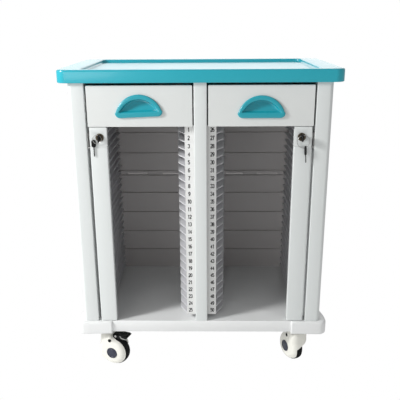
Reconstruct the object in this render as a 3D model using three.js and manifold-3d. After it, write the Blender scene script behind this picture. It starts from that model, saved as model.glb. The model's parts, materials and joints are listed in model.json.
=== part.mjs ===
// Ward trolley for patient records: two drawers under a moulded worktop, and two bays of ribbed
// slots that a locking bar closes on each outer side. It stands on four swivel castors.
// Millimetres, +Z up, +X to the right, front towards -Y, origin on the floor under the middle.

import * as THREE from 'three';
import { mergeVertices } from 'three/addons/utils/BufferGeometryUtils.js';
import Module from 'manifold-3d';

const wasm = await Module();
wasm.setup();

// ---------- driving dimensions ----------

const GAP = 0.3;                    // air between touching pieces
const FRONT = -211;                 // front plane of the columns
const REAR = FRONT + 443;           // rear plane of the columns

const COLUMN_OUT = 384.8;           // half width over the columns
const COLUMN_IN = 337.4;            // half width between the columns
const COLUMN_DEPTH = 50;
const COLUMN_WALL = 2.5;
const COLUMN_RADIUS = 12;
const CENTRE_HALF = 19.2;           // half width of the centre column
const CENTRE_DEPTH = 20;

const BASE_LOW = 130;
const BASE_TOP = 169.5;
const BASE_HALF = 392;
const BASE_RADIUS = 20;
const BUMPER_LOW = 123.5;
const BUMPER_INNER = 292.7;
const BUMPER_OUT = 408.3;
const BUMPER_PROUD = 8;
const BUMPER_BACK = 105;            // length of a bumper along the side

const TOP_LOW = 939.5;
const TOP_HIGH = 977;
const TOP_HALF = 416;
const TOP_DEPTH = 460;
const TOP_OVERHANG = 11;            // worktop in front of the columns
const TOP_RADIUS = 30;
const TRAY_HALF = 350;
const TRAY_FRONT_RIM = 22;
const TRAY_REAR_RIM = 27;
const TRAY_DEEP = 10;

const PARTITION_HALF = 8;
const BACK_IN = FRONT + 430;        // inner face of the back panel
const BACK_THICK = 11;
const PLANK_PITCH = 77.8;
const PLANK_FIRST = 247;
const PLANK_GROOVES = 9;
const VENT_Z = 558;
const PANEL_IN = 362.3;
const PANEL_OUT = 377;

const SLOT_PITCH = 25;
const RIB_FIRST = 186;
const RIB_COUNT = 26;
const RIB_THICK = 3;
const RACK_TOP = RIB_FIRST + SLOT_PITCH * (RIB_COUNT - 1) + RIB_THICK / 2;
const LABEL_EDGE = 47.5;            // half width to the outer edge of a number strip
const LABEL_Y = FRONT + 20.3;
const LABEL_THICK = 3;

const DRAWER_LOW = 812;
const DRAWER_HIGH = 931.5;
const DRAWER_IN = 23.2;
const DRAWER_OUT = 331.5;
const DRAWER_MID = (DRAWER_IN + DRAWER_OUT) / 2;
const DRAWER_FACE = 18;             // thickness of a drawer front
const BOX_HALF = 145;
const BOX_LOW = 817;
const BOX_HIGH = 912;
const BOX_BACK = FRONT + 400;
const FLANGE_Z = 870;
const FLANGE_OUT = 153.5;

const HANDLE_W = 139;
const HANDLE_H = 66;
const HANDLE_LOW = 836;
const HANDLE_PROUD = 6;
const CUP_W = 119;
const CUP_H = 34;
const CUP_LOW = 851;

const BAR_IN = 276.9;
const BAR_OUT = 328.7;
const BAR_FACE = FRONT + 0.5;
const BAR_BACK = FRONT + 16.5;
const BAR_WALL = 3;
const BAR_LOW = 171.5;
const BAR_HIGH = 751;
const BLOCK_LOW = 751.3;
const BLOCK_HIGH = 810;
const PIVOT_X = 322.7;
const PIVOT_Y = FRONT + 6.5;
const PIN_R = 3;
const LOCK_X = 298.5;
const LOCK_Z = 780;
const degrees = Math.PI / 180;
const LEFT_SPARE = { ringRadius: 13, lean: -58 * degrees, turn: 0, tilt: 0, setBack: 2.2, bowLow: -17 };
const RIGHT_SPARE = {
  ringRadius: 18.6, lean: 20 * degrees, turn: 62 * degrees, tilt: -4 * degrees, setBack: -3, bowLow: -22.5,
};
const CAM_LONG = 33;

const WHEEL_R = 50;
const WHEEL_NEAR = 10.5;            // from the swivel axis to the side of the tyre under the cheek
const WHEEL_FAR = 15;               // and to its open side
const TRAIL = 28;                   // swivel axis to wheel axle
const CASTOR_X = 318;
const CASTOR_FRONT_Y = FRONT + 30;
const CASTOR_REAR_Y = REAR - 30;
const CHEEK_OUT = 25;               // from the swivel axis to the outside of the cheek
const HOOD_OUT = 30;                // and to the far side of the hood
const HOOD_LOW = 66;
const HEAD_TOP = 118;

// ---------- small tools ----------

const group = new THREE.Group();

function paint(colour, roughness, metalness = 0) {
  return new THREE.MeshStandardMaterial({ color: colour, roughness, metalness });
}

const white = paint(0xe6eae8, 0.45);
const shell = paint(0xdfe1e0, 0.4);
const grey = paint(0x8b8c8b, 0.55);
const rackGrey = paint(0xb9bcba, 0.5);
const teal = paint(0x35a9ba, 0.3);
const cream = paint(0xf2f2ea, 0.35);
const black = paint(0x17181c, 0.6);
const rubber = paint(0x202126, 0.8);
const steel = paint(0xa9aba9, 0.35, 0.8);
const brass = paint(0x7f6c48, 0.35, 0.8);

function add(name, geometry, material) {
  const mesh = new THREE.Mesh(geometry, material);
  mesh.name = name;
  group.add(mesh);
  return mesh;
}

function solid(geometry) {
  const bare = geometry.clone();
  bare.deleteAttribute('normal');
  bare.deleteAttribute('uv');
  const merged = mergeVertices(bare, 1e-4);
  return new wasm.Manifold(new wasm.Mesh({
    numProp: 3,
    vertProperties: Float32Array.from(merged.attributes.position.array),
    triVerts: Uint32Array.from(merged.index.array),
  }));
}

function geometryOf(manifold) {
  const mesh = manifold.getMesh();
  const geometry = new THREE.BufferGeometry();
  geometry.setAttribute('position', new THREE.BufferAttribute(Float32Array.from(mesh.vertProperties), 3));
  geometry.setIndex(new THREE.BufferAttribute(Uint32Array.from(mesh.triVerts), 1));
  geometry.computeVertexNormals();
  return geometry;
}

function cut(body, ...tools) {
  return geometryOf(tools.reduce((left, tool) => left.subtract(solid(tool)), solid(body)));
}

function join(body, ...others) {
  return geometryOf(others.reduce((sum, other) => sum.add(solid(other)), solid(body)));
}

function common(body, other) {
  return geometryOf(solid(body).intersect(solid(other)));
}

// Two places along an axis, the lower one first.
function between(a, b) {
  return [Math.min(a, b), Math.max(a, b)];
}

// A box between two corners, given in any order.
function box(x0, x1, y0, y1, z0, z1) {
  const geometry = new THREE.BoxGeometry(Math.abs(x1 - x0), Math.abs(y1 - y0), Math.abs(z1 - z0));
  return geometry.translate((x0 + x1) / 2, (y0 + y1) / 2, (z0 + z1) / 2);
}

// A closed outline, always taken anticlockwise so that its holes come out as holes.
function polygon(points) {
  const outline = points.map(([x, y]) => new THREE.Vector2(x, y));
  return new THREE.Shape(THREE.ShapeUtils.isClockWise(outline) ? outline.reverse() : outline);
}

function roundedRect(x0, x1, y0, y1, radius) {
  const shape = new THREE.Shape();
  shape.moveTo(x0 + radius, y0);
  shape.lineTo(x1 - radius, y0);
  shape.absarc(x1 - radius, y0 + radius, radius, -Math.PI / 2, 0);
  shape.absarc(x1 - radius, y1 - radius, radius, 0, Math.PI / 2);
  shape.absarc(x0 + radius, y1 - radius, radius, Math.PI / 2, Math.PI);
  shape.absarc(x0 + radius, y0 + radius, radius, Math.PI, Math.PI * 1.5);
  return shape;
}

function extrude(shape, depth, curveSegments) {
  return new THREE.ExtrudeGeometry(shape, { depth, bevelEnabled: false, curveSegments });
}

// A plan outline (x, y) raised from z0 to z1.
function alongZ(shape, z0, z1, curveSegments = 6) {
  return extrude(shape, z1 - z0, curveSegments).translate(0, 0, z0);
}

// A front outline (x, z) run from y0 back to y1.
function alongY(shape, y0, y1, curveSegments = 6) {
  return extrude(shape, y1 - y0, curveSegments).rotateX(Math.PI / 2).translate(0, y1, 0);
}

// A side outline (y, z) run from x0 to x1.
function alongX(shape, x0, x1, curveSegments = 6) {
  const turn = new THREE.Matrix4().set(0, 0, 1, x0, 1, 0, 0, 0, 0, 1, 0, 0, 0, 0, 0, 1);
  return extrude(shape, x1 - x0, curveSegments).applyMatrix4(turn);
}

function rodY(x, z, radius, y0, y1, sides = 20) {
  return new THREE.CylinderGeometry(radius, radius, y1 - y0, sides).translate(x, (y0 + y1) / 2, z);
}

function rodZ(x, y, radius, z0, z1, sides = 16) {
  return new THREE.CylinderGeometry(radius, radius, z1 - z0, sides)
    .rotateX(Math.PI / 2).translate(x, y, (z0 + z1) / 2);
}

// A half moon: straight foot, round lower corners and an arched top.
function halfMoon(x, low, width, height, corner) {
  const half = width / 2;
  const shape = new THREE.Shape();
  shape.moveTo(x - half + corner, low);
  shape.lineTo(x + half - corner, low);
  shape.absarc(x + half - corner, low + corner, corner, -Math.PI / 2, 0);
  shape.absellipse(x, low + corner, half, height - corner, 0, Math.PI);
  shape.absarc(x - half + corner, low + corner, corner, Math.PI, Math.PI * 1.5);
  return shape;
}

const SIDES = [['left', -1], ['right', 1]];

// ---------- base ----------

function makeBase() {
  const plan = roundedRect(-BASE_HALF, BASE_HALF, FRONT, REAR, BASE_RADIUS);
  const slab = alongZ(plan, BASE_LOW, BASE_TOP);
  const roof = BASE_TOP - 5;
  const long = box(-265, 265, FRONT + 14, REAR - 14, BASE_LOW - 1, roof);
  const wide = box(-380, 380, FRONT + 110, REAR - 110, BASE_LOW - 1, roof);
  const pins = SIDES.map(([, side]) => rodZ(side * PIVOT_X, PIVOT_Y, PIN_R, BASE_TOP - 4, BASE_TOP + 16));
  return join(cut(slab, long, wide), ...pins);
}

// One corner bumper: a wrap round the base corner that tapers back to the side.
function makeBumper(side, end) {
  const edge = end < 0 ? FRONT : REAR;
  const at = (x, inset) => [side * x, edge - end * inset];
  const radius = 24;
  const outline = [
    at(BUMPER_INNER, -BUMPER_PROUD), at(BUMPER_INNER, -GAP), at(BASE_HALF - 21, -GAP),
  ];
  for (let step = 0; step <= 8; step += 1) {
    const turn = (step / 8) * (Math.PI / 2);
    const reach = BASE_RADIUS + GAP + 0.15;
    outline.push(at(BASE_HALF - BASE_RADIUS + reach * Math.sin(turn), BASE_RADIUS - reach * Math.cos(turn)));
  }
  outline.push(at(BASE_HALF + GAP, BUMPER_BACK), at(BASE_HALF + 2, BUMPER_BACK));
  outline.push(at(BUMPER_OUT, 38));
  for (let step = 0; step <= 6; step += 1) {
    const turn = (step / 6) * (Math.PI / 2);
    const x = BUMPER_OUT - radius + radius * Math.cos(turn);
    outline.push(at(x, radius - BUMPER_PROUD - 2 - radius * Math.sin(turn)));
  }
  return alongZ(polygon(outline), BUMPER_LOW, BASE_TOP - GAP);
}

// ---------- columns, panels and back ----------

function makeColumn(side, end) {
  const yFace = end < 0 ? FRONT : REAR;
  const outline = (inset) => {
    const x0 = COLUMN_IN + inset;
    const x1 = COLUMN_OUT - inset;
    const depth = COLUMN_DEPTH - inset;
    const radius = COLUMN_RADIUS - inset;
    const points = [[x0, inset], [x1 - radius, inset]];
    for (let step = 1; step <= 5; step += 1) {
      const turn = (step / 5) * (Math.PI / 2);
      points.push([x1 - radius + radius * Math.sin(turn), inset + radius - radius * Math.cos(turn)]);
    }
    points.push([x1, depth], [x0, depth]);
    return points.map(([x, y]) => [side * x, yFace - end * y]);
  };
  const shape = polygon(outline(0));
  shape.holes.push(polygon(outline(COLUMN_WALL)));
  return alongZ(shape, BASE_TOP + GAP, TOP_LOW - GAP);
}

function makeCentreColumn() {
  const shape = roundedRect(-CENTRE_HALF, CENTRE_HALF, FRONT, FRONT + CENTRE_DEPTH, 3);
  return alongZ(shape, BASE_TOP + GAP, TOP_LOW - GAP, 3);
}

// The partition is a plain wall between the bays, and above them it widens and carries a drawer
// rail on each side.
function makePartition() {
  const low = BASE_TOP + GAP;
  const high = TOP_LOW - GAP;
  const shoulder = RACK_TOP + 1;
  const lip = CENTRE_HALF + 11;
  const half = [
    [PARTITION_HALF, low], [PARTITION_HALF, shoulder], [CENTRE_HALF, shoulder],
    [CENTRE_HALF, FLANGE_Z - 5.5], [lip, FLANGE_Z - 5.5], [lip, FLANGE_Z - 2.5],
    [CENTRE_HALF + 2, FLANGE_Z - 2.5], [CENTRE_HALF + 2, FLANGE_Z + 2.5],
    [lip, FLANGE_Z + 2.5], [lip, FLANGE_Z + 5.5], [CENTRE_HALF, FLANGE_Z + 5.5],
    [CENTRE_HALF, high],
  ];
  const mirrored = half.map(([x, z]) => [-x, z]).reverse();
  return alongY(polygon([...half, ...mirrored]), FRONT + CENTRE_DEPTH + GAP, BACK_IN - GAP);
}

// An outer drawer rail is a channel that the drawer's side flange runs in.
function makeDrawerRail(side) {
  const wall = COLUMN_IN - GAP;
  const lip = wall - 11;
  const points = [
    [wall, FLANGE_Z - 5.5], [lip, FLANGE_Z - 5.5], [lip, FLANGE_Z - 2.5], [wall - 2, FLANGE_Z - 2.5],
    [wall - 2, FLANGE_Z + 2.5], [lip, FLANGE_Z + 2.5], [lip, FLANGE_Z + 5.5], [wall, FLANGE_Z + 5.5],
  ];
  return alongY(polygon(points.map(([x, z]) => [side * x, z])), FRONT + 22, FRONT + 425);
}

function makeSidePanel(side) {
  const y0 = FRONT + COLUMN_DEPTH + GAP;
  const y1 = REAR - COLUMN_DEPTH - GAP;
  const panel = box(side * PANEL_IN, side * PANEL_OUT, y0, y1, BASE_TOP + GAP, TOP_LOW - GAP);
  const field = alongX(roundedRect(y0 + 24, y1 - 24, BASE_TOP + 40, TOP_LOW - 40, 10), -2, 2, 3);
  return cut(panel, field.translate(side * PANEL_OUT, 0, 0));
}

// The back is made of planks: a shallow groove marks each joint, and one joint has vent slots.
function makeBackPanel() {
  const y0 = BACK_IN;
  const y1 = BACK_IN + BACK_THICK;
  const low = BASE_TOP + GAP;
  const high = TOP_LOW - GAP;
  const deep = 2.5;
  const points = [[y1, high], [y1, low], [y0, low]];
  for (let joint = 0; joint < PLANK_GROOVES; joint += 1) {
    const z = PLANK_FIRST + PLANK_PITCH * joint;
    points.push([y0, z - 2], [y0 + deep, z], [y0, z + 2]);
  }
  points.push([y0, high]);
  const half = COLUMN_IN - GAP;
  const panel = alongX(polygon(points), -half, half);
  const vents = [];
  for (const [, side] of SIDES) {
    for (const [x0, x1] of [[90, 154], [208, 284]]) {
      vents.push(box(side * x0, side * x1, y0 - 1, y1 + 1, VENT_Z - 3, VENT_Z + 3));
    }
  }
  return cut(panel, ...vents);
}

// ---------- racks and number strips ----------

// A comb in front view, from its wall at x0 to the rib ends at x1.
function combShape(wall0, wall1, ribEnd) {
  const low = BASE_TOP + GAP + 1;
  const points = [[wall0, RACK_TOP], [wall0, low], [wall1, low]];
  for (let rib = 0; rib < RIB_COUNT; rib += 1) {
    const z = RIB_FIRST + SLOT_PITCH * rib;
    points.push([wall1, z - RIB_THICK / 2], [ribEnd, z - RIB_THICK / 2], [ribEnd, z + RIB_THICK / 2]);
    if (rib < RIB_COUNT - 1) points.push([wall1, z + RIB_THICK / 2]);
  }
  return polygon(points);
}

function makeRack(side, wall0, wall1, ribEnd, plan) {
  const flip = ([x, y]) => [side * x, y];
  const comb = combShape(side * wall0, side * wall1, side * ribEnd);
  const run = alongY(comb, FRONT + 10, BACK_IN - GAP);
  return common(run, alongZ(polygon(plan.map(flip)), BASE_TOP, RACK_TOP + 5));
}

function makeInnerRack(side) {
  const wall = PARTITION_HALF + GAP;
  const front = LABEL_Y + LABEL_THICK + GAP;
  const plan = [
    [wall - 1, front], [LABEL_EDGE, front], [70, FRONT + 68], [84, BACK_IN], [wall - 1, BACK_IN],
  ];
  return makeRack(side, wall, wall + 4, 90, plan);
}

function makeOuterRack(side) {
  const wall = PANEL_IN - GAP;
  const columnBack = REAR - COLUMN_DEPTH - GAP;
  const front = FRONT + COLUMN_DEPTH + 2.5;
  const clear = COLUMN_IN - GAP;
  const plan = [
    [wall + 1, front], [330, front], [306, FRONT + 92], [306, BACK_IN], [clear, BACK_IN],
    [clear, columnBack], [wall + 1, columnBack],
  ];
  return makeRack(side, wall, wall - 4, 300, plan);
}

function makeNumberStrip(side) {
  const inner = PARTITION_HALF + 4.6;
  return box(side * inner, side * LABEL_EDGE, LABEL_Y, LABEL_Y + LABEL_THICK, RIB_FIRST - 3, RACK_TOP);
}

// ---------- worktop ----------

function makeWorktop() {
  const y0 = FRONT - TOP_OVERHANG;
  const y1 = y0 + TOP_DEPTH;
  const edge = 5;
  const plan = roundedRect(-TOP_HALF + edge, TOP_HALF - edge, y0 + edge, y1 - edge, TOP_RADIUS - edge);
  const slab = new THREE.ExtrudeGeometry(plan, {
    depth: TOP_HIGH - TOP_LOW - 2 * edge, bevelThickness: edge, bevelSize: edge, bevelSegments: 2,
    curveSegments: 5,
  }).translate(0, 0, TOP_LOW + edge);
  const trayPlan = roundedRect(-TRAY_HALF, TRAY_HALF, y0 + TRAY_FRONT_RIM, y1 - TRAY_REAR_RIM, 20);
  const tray = alongZ(trayPlan, TOP_HIGH - TRAY_DEEP, TOP_HIGH + 5, 4);
  const hollows = SIDES.map(([, side]) => (
    box(side * (CENTRE_HALF + 2), side * (COLUMN_IN - 2), FRONT + 40, REAR - 20, TOP_LOW - 1, TOP_LOW + 20)
  ));
  return cut(slab, tray, ...hollows);
}

// ---------- drawers ----------

function makeDrawerFront(side) {
  const x0 = Math.min(side * DRAWER_IN, side * DRAWER_OUT);
  const x1 = Math.max(side * DRAWER_IN, side * DRAWER_OUT);
  const shape = roundedRect(x0, x1, DRAWER_LOW, DRAWER_HIGH, 3);
  shape.holes.push(halfMoon(side * DRAWER_MID, CUP_LOW - 3.5, CUP_W + 7, CUP_H + 7, 8.5));
  return alongY(shape, FRONT, FRONT + DRAWER_FACE, 6);
}

function makeDrawerBox(side) {
  const mid = side * DRAWER_MID;
  const y0 = FRONT + DRAWER_FACE + GAP;
  const wall = 2.5;
  const outer = box(mid - BOX_HALF, mid + BOX_HALF, y0, BOX_BACK, BOX_LOW, BOX_HIGH);
  const flange = box(mid - FLANGE_OUT, mid + FLANGE_OUT, y0 + 10, BOX_BACK, FLANGE_Z - 2, FLANGE_Z + 2);
  const room = box(mid - BOX_HALF + wall, mid + BOX_HALF - wall, y0 + wall, BOX_BACK - wall,
    BOX_LOW + wall, BOX_HIGH + 5);
  return cut(join(outer, flange), room);
}

function makeHandle(side) {
  const mid = side * DRAWER_MID;
  const face = FRONT - GAP;
  const cupBack = FRONT + DRAWER_FACE - 1;
  const plate = alongY(halfMoon(mid, HANDLE_LOW, HANDLE_W, HANDLE_H, 12), face - HANDLE_PROUD, face, 6);
  const cup = alongY(halfMoon(mid, CUP_LOW - 3, CUP_W + 6, CUP_H + 6, 8), face - 1, cupBack, 6);
  const room = alongY(halfMoon(mid, CUP_LOW, CUP_W, CUP_H, 6), face - 20, cupBack - 2.5, 6);
  return cut(join(plate, cup), room);
}

// ---------- locking bars ----------

// An open channel with a round screw port that the pivot pins turn in.
function makeLockBar(side) {
  const boss = PIVOT_X - 6;
  const points = [
    [BAR_IN, BAR_FACE], [BAR_OUT, BAR_FACE], [BAR_OUT, BAR_BACK], [BAR_OUT - BAR_WALL, BAR_BACK],
    [BAR_OUT - BAR_WALL, PIVOT_Y + 6], [boss, PIVOT_Y + 6], [boss, BAR_FACE + BAR_WALL],
    [BAR_IN + BAR_WALL, BAR_FACE + BAR_WALL], [BAR_IN + BAR_WALL, BAR_BACK], [BAR_IN, BAR_BACK],
  ];
  const shape = polygon(points.map(([x, y]) => [side * x, y]));
  const port = new THREE.Path();
  port.absarc(side * PIVOT_X, PIVOT_Y, PIN_R + GAP, 0, Math.PI * 2);
  shape.holes.push(port);
  const bar = alongZ(shape, BAR_LOW, BAR_HIGH);
  const notch = box(side * (boss - 4), side * (BAR_OUT + 1), BAR_FACE - 1, BAR_BACK + 1,
    BAR_HIGH - 4, BAR_HIGH + 1);
  return cut(bar, notch);
}

function makeLockBlock(side) {
  const x0 = Math.min(side * BAR_IN, side * BAR_OUT);
  const x1 = Math.max(side * BAR_IN, side * BAR_OUT);
  const body = alongY(roundedRect(x0, x1, BLOCK_LOW, BLOCK_HIGH, 3), BAR_FACE, BAR_BACK, 3);
  const wall = 4;
  const pocket = box(side * (BAR_IN + wall), side * (PIVOT_X - 7), BAR_FACE + 5, BAR_BACK + 1,
    BLOCK_LOW + wall, BLOCK_HIGH - wall);
  const bore = rodY(side * LOCK_X, LOCK_Z, 9.8, BAR_FACE - 1, BAR_FACE + 8, 24);
  const port = rodZ(side * PIVOT_X, PIVOT_Y, PIN_R + GAP, BLOCK_LOW - 1, BLOCK_LOW + 19);
  return cut(body, pocket, bore, port);
}

// A folded bracket on the column: a pivot ear with its pin, and the keeper that the cam hooks behind.
function makePivotBracket(side) {
  const wall = COLUMN_IN - GAP;
  const plate = box(side * (wall - 2), side * wall, FRONT + 6, FRONT + 46, 745, 792);
  const ear = box(side * (PIVOT_X - 6), side * wall, FRONT + 4, FRONT + 12, BAR_HIGH - 3.5, BAR_HIGH - 0.4);
  const pin = rodZ(side * PIVOT_X, PIVOT_Y, PIN_R, BAR_HIGH - 16, BLOCK_LOW + 16);
  const keeper = box(side * 325, side * wall, FRONT + 19, FRONT + 21, 770, 790);
  return join(plate, ear, pin, keeper);
}

function makeLockBarrel(side) {
  const profile = [[6.3, -2], [11, -2], [11, 0.2], [9.5, 0.2], [9.5, 21.5], [6.3, 21.5], [6.3, -2]];
  const points = profile.map(([radius, y]) => new THREE.Vector2(radius, y));
  return new THREE.LatheGeometry(points, 24).translate(side * LOCK_X, FRONT, LOCK_Z);
}

function makeLockPlug(side) {
  const x = side * LOCK_X;
  const plug = join(rodY(x, LOCK_Z, 6, FRONT - 1.5, FRONT + 22), rodY(x, LOCK_Z, 4, FRONT + 21, FRONT + 27));
  return cut(plug, box(x - 1.5, x + 1.5, FRONT - 3, FRONT + 16, LOCK_Z - 4.5, LOCK_Z + 4.5));
}

function makeKey(side) {
  const x = side * LOCK_X;
  const blade = box(x - 1.1, x + 1.1, FRONT - 3, FRONT + 14, LOCK_Z - 4, LOCK_Z + 4);
  const neck = rodY(x, LOCK_Z, 3, FRONT - 8, FRONT - 2);
  const bowShape = roundedRect(FRONT - 27, FRONT - 7, LOCK_Z - 11, LOCK_Z + 11, 8);
  const hole = new THREE.Path();
  hole.absarc(FRONT - 22, LOCK_Z, 2.5, 0, Math.PI * 2);
  bowShape.holes.push(hole);
  const bow = alongX(bowShape, x - 1.8, x + 1.8, 4);
  return join(bow, neck, blade);
}

// The cam hangs down when unlocked, and a quarter turn swings it outwards behind the keeper.
function makeCam(side) {
  const x = side * LOCK_X;
  const shape = roundedRect(x - 7, x + 7, LOCK_Z - CAM_LONG, LOCK_Z + 7, 5);
  const hole = new THREE.Path();
  hole.absarc(x, LOCK_Z, 4.4, 0, Math.PI * 2);
  shape.holes.push(hole);
  return alongY(shape, FRONT + 22.3, FRONT + 24.8, 6);
}

// A wire ring round the neck of the key in the lock, with the spare key hanging from its lowest
// point. turn is about the vertical, tilt is sideways and bowLow is the foot of the bow.
function makeSpareKey(side, { ringRadius, lean, turn, tilt, setBack, bowLow }) {
  const wire = 0.9;
  const hang = ringRadius - 3 - GAP - wire;
  const ringX = side * LOCK_X + hang * Math.sin(lean);
  const ringZ = LOCK_Z - hang * Math.cos(lean);
  const ringY = FRONT - 4.6;
  const ring = new THREE.TorusGeometry(ringRadius, wire, 6, 20).rotateX(Math.PI / 2);
  ring.translate(ringX, ringY, ringZ);
  const bow = alongY(roundedRect(-6.5, 6.5, bowLow, 5, 6), -1.5, 1.5, 4);
  const blade = box(-1.5, 1.5, -1, 1, -45, bowLow + 2);
  const key = join(bow, blade).rotateZ(turn).rotateY(tilt);
  key.translate(ringX + ringRadius * Math.sin(lean), ringY + setBack, ringZ - ringRadius * Math.cos(lean));
  return join(key, ring);
}

// ---------- castors ----------

// Castor pieces are drawn with the swivel axis at x = 0 and the wheel trailing towards +x.
function place(geometry, castor) {
  return geometry.rotateZ(castor.heading).translate(castor.x, castor.y, 0);
}

function makeStem() {
  const plate = rodZ(0, 0, 27, BASE_LOW - 3 - GAP, BASE_LOW - GAP, 24);
  const race = rodZ(0, 0, 18, HEAD_TOP + 0.5, BASE_LOW - 3, 20);
  const kingpin = rodZ(0, 0, 6, HEAD_TOP - 12, HEAD_TOP + 2);
  return join(plate, race, kingpin);
}

// A hood over the top of the wheel, and one round cheek that carries the axle. near is the side of
// the cheek, +1 or -1 along local Y.
function makeHousing(near) {
  const hood = WHEEL_R + 6;
  const cheek = WHEEL_R - 3;
  const shape = new THREE.Shape();
  const low = (200 * Math.PI) / 180;
  const high = (128 * Math.PI) / 180;
  shape.moveTo(TRAIL + hood * Math.cos(low), WHEEL_R + hood * Math.sin(low));
  shape.absarc(TRAIL, WHEEL_R, hood, low, high, true);
  shape.lineTo(-20, HEAD_TOP - 8);
  shape.lineTo(-14, HEAD_TOP);
  shape.lineTo(20, HEAD_TOP);
  shape.lineTo(25, HEAD_TOP - 12);
  shape.absarc(TRAIL, WHEEL_R, cheek, Math.PI * 0.36, low - Math.PI * 2, true);
  const body = alongY(shape, ...between(near * CHEEK_OUT, -near * HOOD_OUT), 10);
  const sides = between(near * (WHEEL_NEAR + 2), -near * (WHEEL_FAR + 2));
  const room = rodY(TRAIL, WHEEL_R, WHEEL_R + 3.5, ...sides, 28);
  const openSide = box(TRAIL - 90, TRAIL + 90, near * (WHEEL_NEAR + 2), -near * (HOOD_OUT + 1),
    -10, HOOD_LOW);
  const bore = rodZ(0, 0, 6 + GAP, HEAD_TOP - 14, HEAD_TOP + 1);
  const axleHole = rodY(TRAIL, WHEEL_R, 6 + GAP, -CHEEK_OUT - 1, CHEEK_OUT + 1, 16);
  return cut(body, room, openSide, bore, axleHole);
}

function makeWheel(near) {
  const tyre = WHEEL_R;
  const profile = [
    [0, -WHEEL_FAR - 2], [12, -WHEEL_FAR - 2], [12, -WHEEL_FAR - 0.5], [36, -WHEEL_FAR - 0.5],
    [tyre - 3, -WHEEL_FAR], [tyre, -WHEEL_FAR + 6], [tyre, WHEEL_NEAR - 6], [tyre - 3, WHEEL_NEAR],
    [36, WHEEL_NEAR + 0.5], [6, WHEEL_NEAR + 0.5], [6, CHEEK_OUT], [0, CHEEK_OUT],
  ];
  const points = profile.map(([radius, y]) => new THREE.Vector2(radius, near * y));
  if (near < 0) points.reverse();
  return new THREE.LatheGeometry(points, 24).translate(TRAIL, 0, WHEEL_R);
}

// The brake pedal is a wedge over the open side of the wheel.
function makePedal() {
  const outline = [[2, 55], [2, 66], [50, 66], [56, 62], [40, 50], [22, 54.5]];
  const shape = polygon(outline.map(([x, z]) => [TRAIL + x, WHEEL_R + z]));
  return alongY(shape, -16, 16);
}

const CASTORS = [
  { name: 'front_left', x: -CASTOR_X, y: CASTOR_FRONT_Y, heading: -20.6 * degrees, near: -1, brake: true },
  { name: 'front_right', x: CASTOR_X, y: CASTOR_FRONT_Y, heading: 114 * degrees, near: 1, brake: true },
  { name: 'rear_left', x: -CASTOR_X, y: CASTOR_REAR_Y, heading: -38 * degrees, near: -1, brake: false },
  { name: 'rear_right', x: CASTOR_X, y: CASTOR_REAR_Y, heading: -66 * degrees, near: 1, brake: false },
];

// ---------- assembly ----------

add('base', makeBase(), shell);
add('worktop', makeWorktop(), teal);
add('centre_column', makeCentreColumn(), white);
add('partition', makePartition(), grey);
add('back_panel', makeBackPanel(), grey);

for (const [name, side] of SIDES) {
  for (const [endName, end] of [['front', -1], ['rear', 1]]) {
    add(`${endName}_${name}_column`, makeColumn(side, end), white);
    add(`${endName}_${name}_bumper`, makeBumper(side, end), shell);
  }
  add(`${name}_side_panel`, makeSidePanel(side), white);
  add(`${name}_inner_rack`, makeInnerRack(side), rackGrey);
  add(`${name}_outer_rack`, makeOuterRack(side), rackGrey);
  add(`${name}_number_strip`, makeNumberStrip(side), white);
  add(`${name}_drawer_rail`, makeDrawerRail(side), grey);
  add(`${name}_drawer_front`, makeDrawerFront(side), white);
  add(`${name}_drawer_box`, makeDrawerBox(side), white);
  add(`${name}_drawer_handle`, makeHandle(side), teal);
  add(`${name}_lock_bar`, makeLockBar(side), white);
  add(`${name}_lock_block`, makeLockBlock(side), white);
  add(`${name}_pivot_bracket`, makePivotBracket(side), steel);
  add(`${name}_lock_barrel`, makeLockBarrel(side), brass);
  add(`${name}_lock_plug`, makeLockPlug(side), brass);
  add(`${name}_lock_cam`, makeCam(side), steel);
  add(`${name}_key`, makeKey(side), black);
}
add('left_spare_key', makeSpareKey(-1, LEFT_SPARE), black);
add('right_spare_key', makeSpareKey(1, RIGHT_SPARE), black);

for (const castor of CASTORS) {
  add(`${castor.name}_castor_stem`, place(makeStem(), castor), steel);
  add(`${castor.name}_castor_housing`, place(makeHousing(castor.near), castor), cream);
  add(`${castor.name}_castor_wheel`, place(makeWheel(castor.near), castor), rubber);
  if (castor.brake) add(`${castor.name}_brake_pedal`, place(makePedal(), castor), black);
}

export default group;
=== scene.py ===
import json
import math

import bmesh
import bpy
from mathutils import Matrix, Vector
from mathutils.geometry import tessellate_polygon


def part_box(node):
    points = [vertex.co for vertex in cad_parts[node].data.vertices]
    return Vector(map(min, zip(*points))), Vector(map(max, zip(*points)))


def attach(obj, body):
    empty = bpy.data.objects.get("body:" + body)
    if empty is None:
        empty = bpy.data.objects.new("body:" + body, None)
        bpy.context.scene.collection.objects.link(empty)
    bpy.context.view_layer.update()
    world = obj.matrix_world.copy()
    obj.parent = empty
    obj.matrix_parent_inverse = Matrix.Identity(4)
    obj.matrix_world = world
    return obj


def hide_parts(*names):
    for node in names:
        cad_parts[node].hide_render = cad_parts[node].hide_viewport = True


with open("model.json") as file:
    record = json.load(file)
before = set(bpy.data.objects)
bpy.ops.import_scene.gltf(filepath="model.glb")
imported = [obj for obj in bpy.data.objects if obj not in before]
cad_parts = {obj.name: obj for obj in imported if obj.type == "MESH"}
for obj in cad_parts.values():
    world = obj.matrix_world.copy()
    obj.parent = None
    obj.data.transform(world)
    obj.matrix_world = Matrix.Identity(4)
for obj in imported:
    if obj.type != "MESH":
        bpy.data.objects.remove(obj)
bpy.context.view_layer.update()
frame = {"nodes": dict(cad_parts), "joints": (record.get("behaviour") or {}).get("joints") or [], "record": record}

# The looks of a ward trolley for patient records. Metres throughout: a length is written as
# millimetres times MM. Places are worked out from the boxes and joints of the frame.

MM = 0.001
SIDES = (("left", -1), ("right", 1))
ENDS = (("front", -1), ("rear", 1))
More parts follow.
